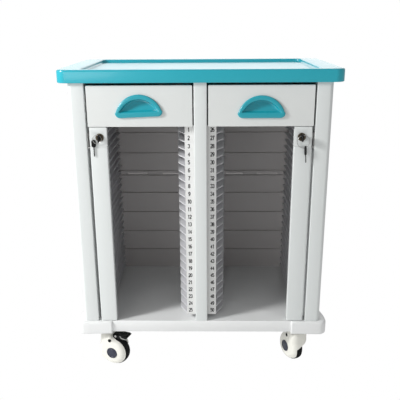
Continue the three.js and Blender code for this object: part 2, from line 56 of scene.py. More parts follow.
CASTORS = ("front_left", "front_right", "rear_left", "rear_right")
BODIES = frame["record"]["behaviour"]["bodies"]
BODY_OF = {node: body for body, nodes in BODIES.items() for node in nodes}
JOINTS = {joint["name"]: joint for joint in frame["joints"]}
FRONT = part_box("front_left_column")[0].y
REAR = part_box("rear_left_column")[1].y


# ---------- outlines: lists of (u, v) ----------

def polar(cu, cv, radius, degrees):
    """The point at an angle on a circle."""
    turn = math.radians(degrees)
    return cu + radius * math.cos(turn), cv + radius * math.sin(turn)


def arc(cu, cv, radius, start, end, steps):
    """Points of an arc from start to end, in degrees."""
    return [polar(cu, cv, radius, start + (end - start) * step / steps) for step in range(steps + 1)]


def rounded_rect(u0, u1, v0, v1, radius, steps=6):
    return (arc(u1 - radius, v0 + radius, radius, -90, 0, steps)
            + arc(u1 - radius, v1 - radius, radius, 0, 90, steps)
            + arc(u0 + radius, v1 - radius, radius, 90, 180, steps)
            + arc(u0 + radius, v0 + radius, radius, 180, 270, steps))


def flipped(outline, side):
    """The outline mirrored in u for side -1."""
    return [(side * u, v) for u, v in outline]


def in_mm(points, u0=0.0, v0=0.0):
    """Points given in millimetres from a place in metres."""
    return [(u0 + u * MM, v0 + v * MM) for u, v in points]


def quarter(radius, steps=5):
    """A quarter round as (run, rise) pairs that start along the rise and end along the run."""
    turns = [math.pi / 2 * step / steps for step in range(steps + 1)]
    return [(radius * (1 - math.cos(turn)), radius * math.sin(turn)) for turn in turns]


# ---------- shapes: (vertices, faces) ----------

PLANES = {
    "x": lambda u, v, w: (w, u, v),
    "y": lambda u, v, w: (u, w, v),
    "z": lambda u, v, w: (u, v, w),
}


def loft(rings, closed=False):
    """Rings of equal length joined by quads, and capped unless the loft closes on itself."""
    count = len(rings[0])
    vertices = [point for ring in rings for point in ring]
    faces = []
    for row in range(len(rings) if closed else len(rings) - 1):
        here, there = row * count, (row + 1) % len(rings) * count
        for k in range(count):
            after = (k + 1) % count
            faces.append((here + k, here + after, there + after, there + k))
    if not closed:
        faces.append(tuple(range(count)))
        faces.append(tuple(len(vertices) - count + k for k in range(count)))
    return vertices, faces


def prism(loops, axis, w0, w1):
    """A bar along an axis; loops[0] is its outline and the other loops are holes through it."""
    place = PLANES[axis]
    flat = [point for loop in loops for point in loop]
    count = len(flat)
    vertices = [place(u, v, w) for w in (w0, w1) for u, v in flat]
    faces = []
    if len(loops) == 1:
        faces += [tuple(range(count)), tuple(range(count, 2 * count))]
    else:
        for a, b, c in tessellate_polygon([[Vector((u, v, 0)) for u, v in loop] for loop in loops]):
            faces += [(a, b, c), (a + count, b + count, c + count)]
    start = 0
    for loop in loops:
        for k in range(len(loop)):
            a, b = start + k, start + (k + 1) % len(loop)
            faces.append((a, b, b + count, a + count))
        start += len(loop)
    return vertices, faces


def lathe(profile, steps=40, closed=False):
    """(radius, height) pairs turned about the Z axis."""
    turns = [math.tau * k / steps for k in range(steps)]
    rings = [[(r * math.cos(t), r * math.sin(t), h) for t in turns] for r, h in profile]
    return loft(rings, closed)


def torus(ring_radius, wire_radius, steps=40, sides=10):
    turns = [math.tau * k / sides for k in range(sides)]
    profile = [(ring_radius + wire_radius * math.cos(t), wire_radius * math.sin(t)) for t in turns]
    return lathe(profile, steps, closed=True)


def moved(shape, matrix):
    return [matrix @ Vector(v) for v in shape[0]], shape[1]


def merged(*shapes):
    vertices, faces = [], []
    for shape in shapes:
        faces += [tuple(i + len(vertices) for i in face) for face in shape[1]]
        vertices += list(shape[0])
    return vertices, faces


def at(x, y, z):
    return Matrix.Translation((x, y, z))


def facing(side):
    """Turns the Z axis of a lathed shape to +Y for side 1 and to -Y for side -1."""
    return Matrix.Rotation(math.radians(-90 * side), 4, "X")


TO_FRONT = facing(-1)


def half_widths(node):
    """How near to the middle plane a node comes, and how far out it reaches."""
    return sorted(abs(corner.x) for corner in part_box(node))


# ---------- objects ----------

SHARP_ANGLE = math.radians(38)
BEVEL_ANGLE = math.radians(32)


def mesh_of(name, shape):
    """A mesh whose faces all point outwards."""
    mesh = bpy.data.meshes.new(name)
    mesh.from_pydata([Vector(v) for v in shape[0]], [], shape[1])
    work = bmesh.new()
    work.from_mesh(mesh)
    bmesh.ops.recalc_face_normals(work, faces=work.faces)
    work.to_mesh(mesh)
    work.free()
    return mesh


def smooth(mesh):
    mesh.polygons.foreach_set("use_smooth", [True] * len(mesh.polygons))


def linked(name, data):
    thing = bpy.data.objects.new(name, data)
    bpy.context.scene.collection.objects.link(thing)
    return thing


def finished(name, mesh, look, node, bevel, replaces):
    """Smooth faces, rounded edges, a material and a body."""
    mesh.materials.clear()
    mesh.materials.append(look)
    smooth(mesh)
    if not bevel:
        mesh.set_sharp_from_angle(angle=SHARP_ANGLE)
    thing = linked(name, mesh)
    if bevel:
        edges = thing.modifiers.new("edges", "BEVEL")
        edges.width = bevel
        edges.segments = 3
        edges.limit_method = "ANGLE"
        edges.angle_limit = BEVEL_ANGLE
        edges.harden_normals = True
        edges.miter_outer = "MITER_ARC"
    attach(thing, BODY_OF[node])
    if replaces:
        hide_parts(*replaces)
    return thing


def piece(name, shape, look, node, bevel=0.0, replaces=None):
    """A new object that stands for its CAD node, unless replaces says otherwise."""
    stands_for = (node,) if replaces is None else replaces
    return finished(name, mesh_of(name, shape), look, node, bevel, stands_for)


def refined(node, look, bevel):
    """A copy of a CAD node's own shape with whole flat faces and rounded edges."""
    mesh = bpy.data.meshes.new(node + "_piece")
    work = bmesh.new()
    work.from_mesh(frame["nodes"][node].data)
    bmesh.ops.remove_doubles(work, verts=work.verts, dist=0.01 * MM)
    bmesh.ops.dissolve_limit(work, angle_limit=math.radians(1), verts=work.verts, edges=work.edges)
    work.to_mesh(mesh)
    work.free()
    return finished(node + "_piece", mesh, look, node, bevel, (node,))


def carve(thing, shape):
    """Takes the shape's room out of the thing for good."""
    tool = linked("cutter", mesh_of("cutter", shape))
    cut = thing.modifiers.new("room", "BOOLEAN")
    cut.operation = "DIFFERENCE"
    cut.solver = "EXACT"
    cut.object = tool
    bpy.context.view_layer.update()
    graph = bpy.context.evaluated_depsgraph_get()
    mesh = bpy.data.meshes.new_from_object(thing.evaluated_get(graph))
    thing.modifiers.remove(cut)
    thing.data = mesh
    bpy.data.objects.remove(tool)
    smooth(mesh)
    mesh.set_sharp_from_angle(angle=SHARP_ANGLE)


# ---------- materials ----------

GLOSS_DRIFT = 0.12
COAT_ROUGHNESS = 0.12
GRAIN_DEPTH = 0.2 * MM


def material(name, colour, roughness, metallic=0.0, coat=0.0, mottle=0.03, mottle_scale=9.0,
             grain=0.12, grain_scale=900.0, stretch=(1, 1, 1), shine=0.5):
    """A surface whose colour and gloss drift slowly, with a fine grain as bump."""
    made = bpy.data.materials.new(name)
    made.use_nodes = True
    nodes, links = made.node_tree.nodes, made.node_tree.links
    surface = nodes["Principled BSDF"]
    surface.inputs["Metallic"].default_value = metallic
    surface.inputs["Coat Weight"].default_value = coat
    surface.inputs["Specular IOR Level"].default_value = shine
    surface.inputs["Coat Roughness"].default_value = COAT_ROUGHNESS
    place = nodes.new("ShaderNodeTexCoord")
    scale = nodes.new("ShaderNodeMapping")
    scale.inputs["Scale"].default_value = stretch
    links.new(place.outputs["Object"], scale.inputs["Vector"])

    drift = nodes.new("ShaderNodeTexNoise")
    drift.inputs["Scale"].default_value = mottle_scale
    drift.inputs["Detail"].default_value = 4
    links.new(scale.outputs["Vector"], drift.inputs["Vector"])
    tint = nodes.new("ShaderNodeMix")
    tint.data_type = "RGBA"
    tint.inputs["A"].default_value = (*[c * (1 - mottle) for c in colour], 1)
    tint.inputs["B"].default_value = (*[min(1, c * (1 + mottle)) for c in colour], 1)
    links.new(drift.outputs["Fac"], tint.inputs["Factor"])
    links.new(tint.outputs["Result"], surface.inputs["Base Color"])

    gloss = nodes.new("ShaderNodeMapRange")
    gloss.inputs["To Min"].default_value = roughness * (1 - GLOSS_DRIFT)
    gloss.inputs["To Max"].default_value = min(1, roughness * (1 + GLOSS_DRIFT))
    links.new(drift.outputs["Fac"], gloss.inputs["Value"])
    links.new(gloss.outputs["Result"], surface.inputs["Roughness"])

    fine = nodes.new("ShaderNodeTexNoise")
    fine.inputs["Scale"].default_value = grain_scale
    fine.inputs["Detail"].default_value = 2
    links.new(scale.outputs["Vector"], fine.inputs["Vector"])
    bump = nodes.new("ShaderNodeBump")
    bump.inputs["Strength"].default_value = grain
    bump.inputs["Distance"].default_value = GRAIN_DEPTH
    links.new(fine.outputs["Fac"], bump.inputs["Height"])
    links.new(bump.outputs["Normal"], surface.inputs["Normal"])
    return made


# Each has a linear colour and a roughness.
WHITE = material("white_coated", (0.745, 0.775, 0.765), 0.38, stretch=(6, 6, 0.4), mottle=0.02)
DRAWER = material("drawer_board", (0.74, 0.76, 0.745), 0.42, mottle=0.02, mottle_scale=14)
BASE = material("base_moulding", (0.86, 0.87, 0.865), 0.3, coat=0.15, grain=0.2, grain_scale=500)
TEAL = material("teal_moulding", (0.014, 0.405, 0.50), 0.32, coat=0.35, grain=0.15, grain_scale=420)
GRIP = material("teal_grip", (0.010, 0.355, 0.435), 0.3, coat=0.5, grain=0.15, grain_scale=420)
INNER = material("inner_board", (0.60, 0.575, 0.57), 0.5, mottle=0.04, stretch=(0.5, 2, 2))
RACK = material("rack_moulding", (0.76, 0.76, 0.78), 0.45, mottle=0.03)
STRIP = material("label_card", (0.80, 0.80, 0.79), 0.55, grain=0.05, mottle=0.02, mottle_scale=60)
CREAM = material("castor_moulding", (0.90, 0.89, 0.82), 0.25, coat=0.3, grain=0.1)
TYRE = material("tyre_rubber", (0.004, 0.004, 0.005), 0.75, shine=0.2, grain=0.5, grain_scale=350)
CAP = material("hub_cap_plastic", (0.03, 0.034, 0.058), 0.36, grain=0.2, grain_scale=600)
BLACK = material("black_plastic", (0.003, 0.003, 0.0035), 0.5, shine=0.2, grain=0.25, grain_scale=500)
# Zinc plate for the rails, brackets, cam, stem, ring, bolt and key blade; on the brake pedal's strip it is a
# painted highlight.
ZINC_AND_PAINTED_HIGHLIGHT = material("zinc_plate_and_painted_highlight", (0.52, 0.52, 0.51), 0.33, metallic=1.0, mottle=0.1, mottle_scale=120)
BRASS = material("dark_brass", (0.11, 0.09, 0.065), 0.35, metallic=1.0, mottle=0.15, mottle_scale=200)
INK = material("printed_ink", (0.004, 0.004, 0.004), 0.7, shine=0.1, grain=0.02)


# ---------- worktop, base and bumpers ----------

def worktop():
    """A moulded top: rounded outside edges, a raised rim and a shallow tray."""
    lo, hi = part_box("worktop")
    tray_half, front_rim, rear_rim, deep = 350 * MM, 22 * MM, 27 * MM, 10 * MM
    corner, tray_corner = 30 * MM, 20 * MM

    def outer(inset, z):
        shape = rounded_rect(lo.x + inset, hi.x - inset, lo.y + inset, hi.y - inset, corner - inset, 10)
        return [(x, y, z) for x, y in shape]

    def tray(inset, z):
        shape = rounded_rect(-tray_half + inset, tray_half - inset, lo.y + front_rim + inset,
                             hi.y - rear_rim - inset, tray_corner - inset, 10)
        return [(x, y, z) for x, y in shape]

    low, high, lip, sole = 2.5 * MM, 6 * MM, 3.5 * MM, 5 * MM
    floor = hi.z - deep
    rings = [outer(low - rise, lo.z + run) for run, rise in quarter(low)]
    rings += [outer(run, hi.z - high + rise) for run, rise in quarter(high, 7)]
    rings += [tray(rise - lip, hi.z - run) for run, rise in quarter(lip)]
    rings += [tray(run, floor + sole - rise) for run, rise in quarter(sole)]
    piece("worktop_moulding", loft(rings), TEAL, "worktop")


def bumper(end_name, end, side_name, side):
    """A wrap round the base corner that bulges in height and tapers back along the side."""
    node = f"{end_name}_{side_name}_bumper"
    lo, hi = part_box(node)
    inner, out = half_widths(node)
    edge = FRONT if end < 0 else REAR
    half, base_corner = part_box("base")[1].x, 20 * MM
    proud, corner, gap = 8 * MM, 24 * MM, 0.3 * MM
    back = hi.y - lo.y - 10 * MM

    def thickness(u, v):
        """How far a point stands out of the base's rounded corner."""
        over_u, over_v = u - (half - base_corner), base_corner - v
        reach = math.hypot(max(over_u, 0), max(over_v, 0)) + min(max(over_u, over_v), 0)
        return reach - base_corner

    outside = [(inner, -proud * 0.4)] + in_mm([(4, 0), (30, -0.8)], inner, -proud)
    outside.append((out - corner - 20 * MM, -proud - 1.6 * MM))
    outside += arc(out - corner, corner - proud - 2 * MM, corner, -90, 0, 10)
    outside += in_mm([(0, 30), (-1.5, 45), (-8, 75)], out) + [(half + 2 * MM, back)]
    inside = arc(half - base_corner, base_corner, base_corner + gap, 0, -90, 8)
    inside = [(half + gap, back)] + inside + [(inner, -gap)]

    def ring(inset, z):
        points = []
        for k, (u, v) in enumerate(outside):
            before, after = outside[max(k - 1, 0)], outside[min(k + 1, len(outside) - 1)]
            along = Vector((after[0] - before[0], after[1] - before[1])).normalized()
            pull = min(inset, 0.75 * max(thickness(u, v), 0))
            points.append((u - along.y * pull, v + along.x * pull))
        points += inside
        return [(side * u, edge - end * v, z) for u, v in points]

    round_edge = 7 * MM
    rings = [ring(round_edge - rise, lo.z + run) for run, rise in quarter(round_edge)]
    rings += [ring(run, hi.z - round_edge + rise) for run, rise in quarter(round_edge)]
    piece(node + "_piece", loft(rings), BASE, node)


# ---------- columns, panels and back ----------

def column(end_name, end, side_name, side):
    """An extruded post with a round outer corner."""
    node = f"{end_name}_{side_name}_column"
    lo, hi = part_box(node)
    near, far = half_widths(node)
    face, depth = lo.y if end < 0 else hi.y, hi.y - lo.y
    round_out, round_in = 12 * MM, 2 * MM
    outline = arc(near + round_in, round_in, round_in, 180, 270, 4)
    outline += arc(far - round_out, round_out, round_out, -90, 0, 10)
    outline += [(far, depth), (near, depth)]
    points = [(side * u, face - end * v) for u, v in outline]
    piece(node + "_piece", prism([points], "z", lo.z, hi.z), WHITE, node, bevel=0.5 * MM)


def centre_column():
    lo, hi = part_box("centre_column")
    shape = prism([rounded_rect(lo.x, hi.x, lo.y, hi.y, 3 * MM, 5)], "z", lo.z, hi.z)
    piece("centre_column_piece", shape, WHITE, "centre_column")


def side_panel(side_name, side):
    """A flat panel with a shallow pressed field on its outside."""
    node = f"{side_name}_side_panel"
    lo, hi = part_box(node)
    inner, outer = (hi.x, lo.x) if side < 0 else (lo.x, hi.x)
    border, top_border, deep = 24 * MM, 40 * MM, 2 * MM

    def ring(x, inset, drop, radius):
        shape = rounded_rect(lo.y + inset, hi.y - inset, lo.z + drop, hi.z - drop, radius, 6)
        return [(x, y, z) for y, z in shape]

    rings = [ring(inner, 0, 0, 0.6 * MM), ring(outer, 0, 0, 0.6 * MM)]
    for sunk, inset, radius in ((0, -1, 11), (0.4 * MM, 0, 10), (deep - 0.4 * MM, 2, 8.5), (deep, 3, 8)):
        rings.append(ring(outer - side * sunk, border + inset * MM, top_border + inset * MM, radius * MM))
    piece(node + "_piece", loft(rings), WHITE, node)


def back_panel():
    """Boards with open joints on a thin sheet, and a narrow slotted board in the middle."""
    lo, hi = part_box("back_panel")
    pitch, first, joints, vent_joint = 77.8 * MM, 247 * MM, 9, 4
    half_joint, joint_deep, sheet_inset = 2.2 * MM, 5 * MM, 1 * MM
    vent_low, vent_high = 549.5 * MM, 567.5 * MM
    slot_low, slot_high = 552.4 * MM, 555.2 * MM
    slot_ends = in_mm([(-284, -208), (-154, -90), (90, 154), (208, 284)])
    face = lo.y + joint_deep
    edges = [lo.z - half_joint]
    for k in range(joints):
        edges += [vent_low, vent_high] if k == vent_joint else [first + pitch * k]
    edges.append(hi.z + half_joint)
    slots = [rounded_rect(x0, x1, slot_low, slot_high, 1 * MM, 3) for x0, x1 in slot_ends]
    boards = []
    for z0, z1 in zip(edges, edges[1:]):
        board = rounded_rect(lo.x, hi.x, z0 + half_joint, z1 - half_joint, 0.4 * MM, 1)
        holes = slots if z0 == vent_low else []
        boards.append(prism([board] + holes, "y", lo.y, face))
    sheet = rounded_rect(lo.x + sheet_inset, hi.x - sheet_inset, lo.z + sheet_inset, hi.z - sheet_inset,
                         0.4 * MM, 1)
    boards.append(prism([sheet] + slots, "y", face - 0.2 * MM, hi.y))
    piece("back_panel_boards", merged(*boards), INNER, "back_panel", bevel=0.8 * MM)


# ---------- racks and number strips ----------

SLOT_PITCH = 25 * MM
RIB_COUNT = 26
RIB_THICK = 3 * MM
RACK_WALL = 4 * MM
# Half widths, and distances behind the front, of the bends in the plans of the ribs.
INNER_BEND, INNER_BEND_BACK = 70 * MM, 68 * MM
OUTER_NOSE, OUTER_BEND_BACK = 330 * MM, 92 * MM
NUMERAL_MIDDLE = 35.5 * MM
NUMERAL_WIDE, NUMERAL_TALL, NUMERAL_SPREAD, INK_WIDE = 5.6 * MM, 6.7 * MM, 6.0 * MM, 2.3 * MM


def rack(node, side, wall, plan):
    """Ribs of one plan shape at the slot pitch, on a wall between two half widths."""
    lo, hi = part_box(node)
    flat = flipped(plan, side)
    tops = [hi.z - SLOT_PITCH * k for k in range(RIB_COUNT)]
    shapes = [prism([flat], "z", top - RIB_THICK, top) for top in tops]
    back = max(v for u, v in plan)
    front = min(v for u, v in plan)
    sheet = [(wall[0], front), (wall[1], front), (wall[1], back), (wall[0], back)]
    shapes.append(prism([flipped(sheet, side)], "z", lo.z, hi.z))
    piece(node + "_piece", merged(*shapes), RACK, node, bevel=0.5 * MM)


def inner_rack(side_name, side):
    node = f"{side_name}_inner_rack"
    lo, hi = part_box(node)
    near, far = half_widths(node)
    label_edge = half_widths(f"{side_name}_number_strip")[1]
    plan = [(near, lo.y), (label_edge, lo.y), (INNER_BEND, FRONT + INNER_BEND_BACK), (far, hi.y),
            (near, hi.y)]
    rack(node, side, (near, near + RACK_WALL), plan)


def outer_rack(side_name, side):
    node = f"{side_name}_outer_rack"
    lo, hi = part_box(node)
    far, near = half_widths(node)
    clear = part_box("back_panel")[1].x
    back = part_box(f"rear_{side_name}_column")[0].y - 0.3 * MM
    plan = [(near, lo.y), (OUTER_NOSE, lo.y), (far, FRONT + OUTER_BEND_BACK), (far, hi.y),
            (clear, hi.y), (clear, back), (near, back)]
    rack(node, side, (near - RACK_WALL, near), plan)


def number_strip(side_name, side, first_number):
    """A strip of 25 label cards with a printed numeral on each."""
    node = f"{side_name}_number_strip"
    lo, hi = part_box(node)
    card_gap, margin, proud = 0.7 * MM, 0.5 * MM, 0.5 * MM
    shapes = [prism([rounded_rect(lo.x, hi.x, lo.z, hi.z, 0.5 * MM, 2)], "y", lo.y + proud, hi.y)]
    numerals = []
    for k in range(RIB_COUNT - 1):
        top = hi.z - SLOT_PITCH * k - card_gap / 2 - 1 * MM
        low = top - SLOT_PITCH + card_gap
        card = rounded_rect(lo.x + margin, hi.x - margin, low, top, 1 * MM, 3)
        shapes.append(prism([card], "y", lo.y, lo.y + proud + 0.1 * MM))
        numerals.append(numeral(first_number + k, side * NUMERAL_MIDDLE, lo.y, (low + top) / 2))
    piece(node + "_cards", merged(*shapes), STRIP, node)
    piece(node + "_numerals", merged(*numerals), INK, node, replaces=())


def stroke(points, width, front, back):
    """A bent flat band of even width along the points, with square ends."""
    rings = []
    for k, point in enumerate(points):
        before = points[max(0, k - 1)]
        after = points[min(len(points) - 1, k + 1)]
        run = Vector((after[0] - before[0], after[1] - before[1])).normalized()
        bend = 1.0
        if 0 < k < len(points) - 1:
            step = Vector((point[0] - before[0], point[1] - before[1])).normalized()
            bend = 1 / max(0.5, run.dot(step))
        reach = width / 2 * bend
        left = (point[0] - run.y * reach, point[1] + run.x * reach)
        right = (point[0] + run.y * reach, point[1] - run.x * reach)
        corners = ((left, front), (right, front), (right, back), (left, back))
        rings.append([(u, y, v) for (u, v), y in corners])
    return loft(rings)


def digit_strokes(digit):
    """The strokes of a plain digit in a field 1 wide and 2 high, middle at the origin."""
    def bow(x, y, rx, ry, start, end, steps=12):
        turns = [math.radians(start + (end - start) * k / steps) for k in range(steps + 1)]
        return [(x + rx * math.cos(a), y + ry * math.sin(a)) for a in turns]

    return {
        "0": [bow(0, 0, 0.42, 0.85, 90, -90), bow(0, 0, 0.42, 0.85, 270, 90)],
        "1": [[(-0.28, 0.5), (-0.05, 0.66), (0.1, 0.98)], [(0.1, 1), (0.1, -1)]],
        "2": [bow(0, 0.42, 0.4, 0.44, 165, -30) + [(-0.3, -0.55), (-0.36, -0.83), (0.5, -0.83)]],
        "3": [bow(-0.02, 0.44, 0.4, 0.42, 160, -80), bow(-0.02, -0.4, 0.43, 0.46, 85, -165)],
        "4": [[(0.2, -1), (0.2, 0.8), (-0.45, -0.35), (0.55, -0.35)]],
        "5": [[(0.42, 0.84), (-0.28, 0.84), (-0.36, 0.05)] + bow(-0.02, -0.3, 0.42, 0.54, 130, -160)],
        "6": [bow(0, -0.32, 0.4, 0.52, 180, 0), bow(0, -0.32, 0.4, 0.52, 0, -180),
              bow(0.12, -0.2, 0.54, 1.05, 180, 62)],
        "7": [[(-0.45, 0.84), (0.42, 0.84), (0.05, 0.1), (-0.12, -1)]],
        "8": [bow(0, 0.44, 0.36, 0.4, 90, -90), bow(0, 0.44, 0.36, 0.4, 270, 90),
              bow(0, -0.42, 0.42, 0.43, 90, -90), bow(0, -0.42, 0.42, 0.43, 270, 90)],
        "9": [bow(0, 0.32, 0.4, 0.52, 180, 0), bow(0, 0.32, 0.4, 0.52, 0, -180),
              bow(-0.12, 0.2, 0.54, 1.05, 0, -118)],
    }[digit]


def numeral(number, x, y, z):
    """A printed number whose strokes stand just proud of its card, each at its own height."""
    shapes = []
    digits = str(number)
    for place, digit in enumerate(digits):
        middle = x + (place - (len(digits) - 1) / 2) * NUMERAL_SPREAD
        for k, points in enumerate(digit_strokes(digit)):
            path = [(middle + u * NUMERAL_WIDE, z + v * NUMERAL_TALL) for u, v in points]
            shapes.append(stroke(path, INK_WIDE, y - (0.1 + 0.02 * k) * MM, y + 0.05 * MM))
    return merged(*shapes)


# ---------- drawers ----------

def half_moon(middle, foot, width, height, radius, corner, steps=36):
    """A half moon: straight foot, small lower corners and a circular top, always as many points."""
    centre = foot + height - radius
    half = width / 2
    lift = corner + foot
    low = math.degrees(math.asin(max(-1, min(1, (lift - centre) / radius))))
    foot_points = [(middle - half + corner + (width - 2 * corner) * k / 16, foot) for k in range(16)]
    right = arc(middle + half - corner, lift, corner, -90, 0, 6)
    top = arc(middle, centre, radius, low, 180 - low, steps)
    left = arc(middle - half + corner, lift, corner, 180, 270, 6)
    return foot_points + right + top[1:-1] + left[:-1]


HANDLE_WIDE, HANDLE_TALL = 139 * MM, 66 * MM
HANDLE_RADIUS, HANDLE_CORNER = 70.5 * MM, 14 * MM
CUP_WIDE, CUP_TALL, CUP_RADIUS, CUP_UP = 112 * MM, 35 * MM, 61 * MM, 17 * MM
HANDLE_TILT = {"left": math.radians(2.4), "right": 0.0}
HANDLE_SHIFT = {"left": (-3 * MM, 4 * MM), "right": (1 * MM, 0.5 * MM)}


def handle_middle(side_name):
    lo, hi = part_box(f"{side_name}_drawer_handle")
    aside, up = HANDLE_SHIFT[side_name]
    return Vector(((lo.x + hi.x) / 2 + aside, (lo.z + hi.z) / 2 + up))


def cup_outline(middle, grow, drop, corner):
    """The cup's half moon, grown all round, with its foot lowered."""
    foot = middle.y - HANDLE_TALL / 2 + CUP_UP - drop
    return half_moon(middle.x, foot, CUP_WIDE + 2 * grow, CUP_TALL + 2 * grow, CUP_RADIUS + grow, corner)


def tilted(outline, side_name):
    """The outline turned with its handle, which sits a little crooked on the left drawer."""
    middle, turn = handle_middle(side_name), HANDLE_TILT[side_name]
    c, s = math.cos(turn), math.sin(turn)
    return [(middle.x + (u - middle.x) * c - (v - middle.y) * s,
             middle.y + (u - middle.x) * s + (v - middle.y) * c) for u, v in outline]


def drawer_front(side_name):
    node = f"{side_name}_drawer_front"
    lo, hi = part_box(node)
    hole = cup_outline(handle_middle(side_name), 4 * MM, 3.5 * MM, 5 * MM)
    outer = rounded_rect(lo.x, hi.x, lo.z, hi.z, 2.5 * MM, 4)
    front = prism([outer, tilted(hole, side_name)], "y", lo.y, hi.y)
    piece(node + "_piece", front, DRAWER, node, bevel=1.2 * MM)


def drawer_handle(side_name):
    """A flat half round band about a scoop that is deepest under its arch and slopes up to the foot."""
    node = f"{side_name}_drawer_handle"
    lo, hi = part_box(node)
    middle = handle_middle(side_name)
    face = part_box(f"{side_name}_drawer_front")[0].y
    proud, deep = face - lo.y, hi.y - face
    low = middle.y - HANDLE_TALL / 2
    foot = low + CUP_UP
    outer = half_moon(middle.x, low, HANDLE_WIDE, HANDLE_TALL, HANDLE_RADIUS, HANDLE_CORNER)
    mouth = cup_outline(middle, 0, 0, 3 * MM)
    shell = cup_outline(middle, 3 * MM, 3 * MM, 4 * MM)
    centre = Vector((middle.x, foot + CUP_TALL * 0.42))
    back, edge, lip, sole = face - 0.3 * MM, 1.5 * MM, 3 * MM, 2 * MM

    def ring(outline, y):
        return [(u, y, v) for u, v in tilted(outline, side_name)]

    rings = [ring(shell, face + deep - 0.5 * MM), ring(shell, back), ring(outer, back)]
    for share in (0, 0.02, 0.06, 0.13, 0.25, 0.45, 0.65, 0.8, 0.9, 0.96, 1):
        band = [(p[0] + (q[0] - p[0]) * share, p[1] + (q[1] - p[1]) * share) for p, q in zip(outer, mouth)]
        rise = (1 - abs(2 * share - 1) ** 5) ** 0.4
        rings.append(ring(band, back - edge - (proud - 1.8 * MM) * rise))
    for scale in (0.99, 0.975, 0.95, 0.91, 0.86, 0.78, 0.66, 0.5, 0.3, 0.1):
        wall = (1 - scale ** 14) ** 0.6
        scoop = [(centre.x + (u - centre.x) * scale, centre.y + (v - centre.y) * scale) for u, v in mouth]
        climbs = [max(0, min(1, (z - foot) / CUP_TALL)) for x, z in scoop]
        floors = [(deep - sole) * (0.1 + 0.9 * climb ** 0.7) for climb in climbs]
        rings.append([(u, face - lip * (1 - wall) + floor * wall, v)
                      for (u, v), floor in zip(tilted(scoop, side_name), floors)])
    piece(node + "_piece", loft(rings), GRIP, node)


# ---------- locking bars, locks and keys ----------

def lock_bar(side_name, side):
    """A channel with round front edges; its port for screws turns on the pivot pins."""
    node = f"{side_name}_lock_bar"
    lo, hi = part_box(node)
    near, far = half_widths(node)
    wall, soft, port_wall, port_radius = 3 * MM, 2.5 * MM, 6 * MM, 3.3 * MM
    pivot = JOINTS[f"{side_name}_bar_swing"]["pos_m"]
    pivot_x, pivot_y = abs(pivot[0]), pivot[1]
    boss, boss_back = pivot_x - port_wall, pivot_y + port_wall
    outline = arc(near + soft, lo.y + soft, soft, 180, 270, 5)
    outline += arc(far - soft, lo.y + soft, soft, -90, 0, 5)
    outline += [(far, hi.y), (far - wall, hi.y), (far - wall, boss_back), (boss, boss_back)]
    outline += [(boss, lo.y + wall), (near + wall, lo.y + wall), (near + wall, hi.y), (near, hi.y)]
    port = arc(pivot_x, pivot_y, port_radius, 0, 345, 23)
    bar = prism([flipped(outline, side), flipped(port, side)], "z", lo.z, hi.z)
    piece(node + "_piece", bar, WHITE, node)


def lock_barrel(side_name):
    """A sleeve round the plug with a dished face."""
    node = f"{side_name}_lock_barrel"
    lo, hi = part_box(node)
    profile = in_mm([(6.3, 2), (6.6, 2.5), (9.4, 2.7), (11.3, 2.2), (12.2, 0.9), (12.2, -0.2), (9.5, -0.2),
                     (9.5, -21.5), (6.3, -21.5)])
    stand = at((lo.x + hi.x) / 2, FRONT, (lo.z + hi.z) / 2) @ TO_FRONT
    piece(node + "_piece", moved(lathe(profile, 40, closed=True), stand), BRASS, node)


def key_shape(bow_low):
    """The bow and the blade of a flat key that hangs down -Z, its faces towards Y."""
    bow_half, bow_high, bow_round, hole_radius, thick = 6.5 * MM, 5 * MM, 5.5 * MM, 2.1 * MM, 3 * MM
    bow = rounded_rect(-bow_half, bow_half, bow_low, bow_high, bow_round, 6)
    hole = arc(0, 0, hole_radius, 0, 345, 23)
    head = prism([bow, hole], "y", -thick / 2, thick / 2)
    half, half_thick, top, tip = 1.6 * MM, 0.95 * MM, bow_low + 3 * MM, -45 * MM
    cuts = (0.0, 0.5, 0.1, 0.8, 0.3, 0.9, 0.2, 0.6, 0.0)
    step = (top - tip) / len(cuts)
    outline = [(half, top), (-half, top)]
    outline += [(-half + cut * MM, top - step * (k + 0.5)) for k, cut in enumerate(cuts)]
    outline += [(-half * 0.4, tip), (half * 0.3, tip), (half, tip + 2 * MM)]
    return head, prism([outline], "y", -half_thick, half_thick)


def key_in_lock(side_name):
    """The key in the plug: bow edge on, collar and the start of the blade."""
    node = f"{side_name}_key"
    lo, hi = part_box(node)
    x, z = (lo.x + hi.x) / 2, (lo.z + hi.z) / 2
    bow_back, hole_y, hole_radius, half_thick = FRONT - 7 * MM, FRONT - 22 * MM, 2.4 * MM, 1.7 * MM
    bow = rounded_rect(lo.y, bow_back, lo.z, hi.z, 8 * MM, 6)
    hole = arc(hole_y, z, hole_radius, 0, 345, 23)
    head = prism([bow, hole], "x", x - half_thick, x + half_thick)
    collar = lathe(in_mm([(2.2, 2), (3, 2.6), (3, 7), (2, 8.4)]), 24)
    collar = moved(collar, at(x, FRONT, z) @ TO_FRONT)
    piece(node + "_piece", merged(head, collar), BLACK, node, bevel=0.5 * MM)
    half_tall, half_blade = 3.9 * MM, 0.9 * MM
    flat = rounded_rect(FRONT - 3 * MM, FRONT + 14 * MM, z - half_tall, z + half_tall, 1 * MM, 2)
    blade = prism([flat], "x", x - half_blade, x + half_blade)
    piece(node + "_blade", blade, ZINC_AND_PAINTED_HIGHLIGHT, node, replaces=())


